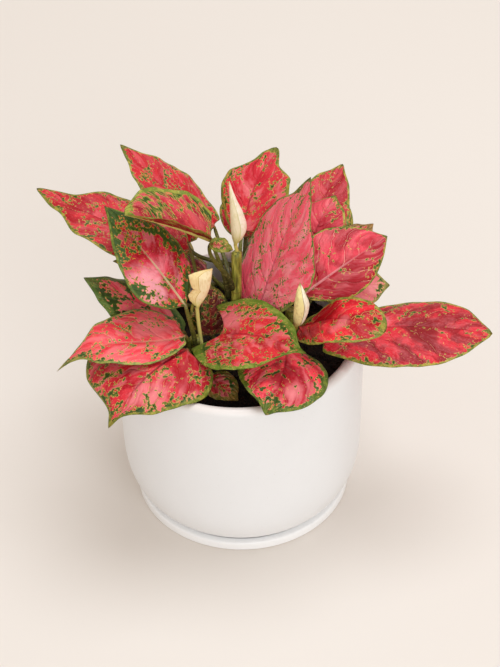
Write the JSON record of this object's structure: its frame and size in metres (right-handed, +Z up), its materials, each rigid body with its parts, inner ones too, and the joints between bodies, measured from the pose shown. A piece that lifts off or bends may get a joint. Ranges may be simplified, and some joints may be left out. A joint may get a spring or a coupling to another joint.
{
  "type": "potted chinese evergreen",
  "caption": "Red-leaved Chinese evergreen with green-edged, speckled leaves and pale flower spathes, planted in a round white glazed pot on a shallow saucer.",
  "frame": {"origin": "centre of the saucer's flat underside, on the surface that the pot stands on", "axes": "+Z up along the pot's axis; -Y is the front, the side that the two broad front leaves hang over; +X to the right, where the longest leaf reaches out"},
  "size_m": [0.314, 0.225, 0.263],
  "materials": {
    "glaze": "satin",
    "soil": "matte",
    "leaf": "satin",
    "cane": "satin",
    "spathe": "satin"
  },
  "bodies": {
    "root": {"cane_back": "cane", "cane_front": "cane", "cane_left": "cane", "cane_middle": "cane", "cane_right": "cane", "flower_folded": "spathe", "flower_open": "spathe", "flower_upright": "spathe", "leaf_back_1": "leaf", "leaf_back_2": "leaf", "leaf_back_3": "leaf", "leaf_back_4": "leaf", "leaf_back_5": "leaf", "leaf_back_6": "leaf", "leaf_back_7": "leaf", "leaf_centre": "leaf", "leaf_curled": "leaf", "leaf_deep": "leaf", "leaf_far_left": "leaf", "leaf_far_right": "leaf", "leaf_front": "leaf", "leaf_front_left": "leaf", "leaf_left_dark": "leaf", "leaf_left_inner": "leaf", "leaf_left_low": "leaf", "leaf_left_upright": "leaf", "leaf_right": "leaf", "leaf_right_behind": "leaf", "leaf_right_inner": "leaf", "leaf_right_low": "leaf", "leaf_right_pale": "leaf", "leaf_right_tip": "leaf", "leaf_small_front": "leaf", "leaf_small_twisted": "leaf", "leaf_tall": "leaf", "leaf_top": "leaf", "leaf_top_left": "leaf", "leaf_top_right": "leaf", "pot": "glaze", "saucer": "glaze", "soil": "soil"}
  },
  "joints": []
}
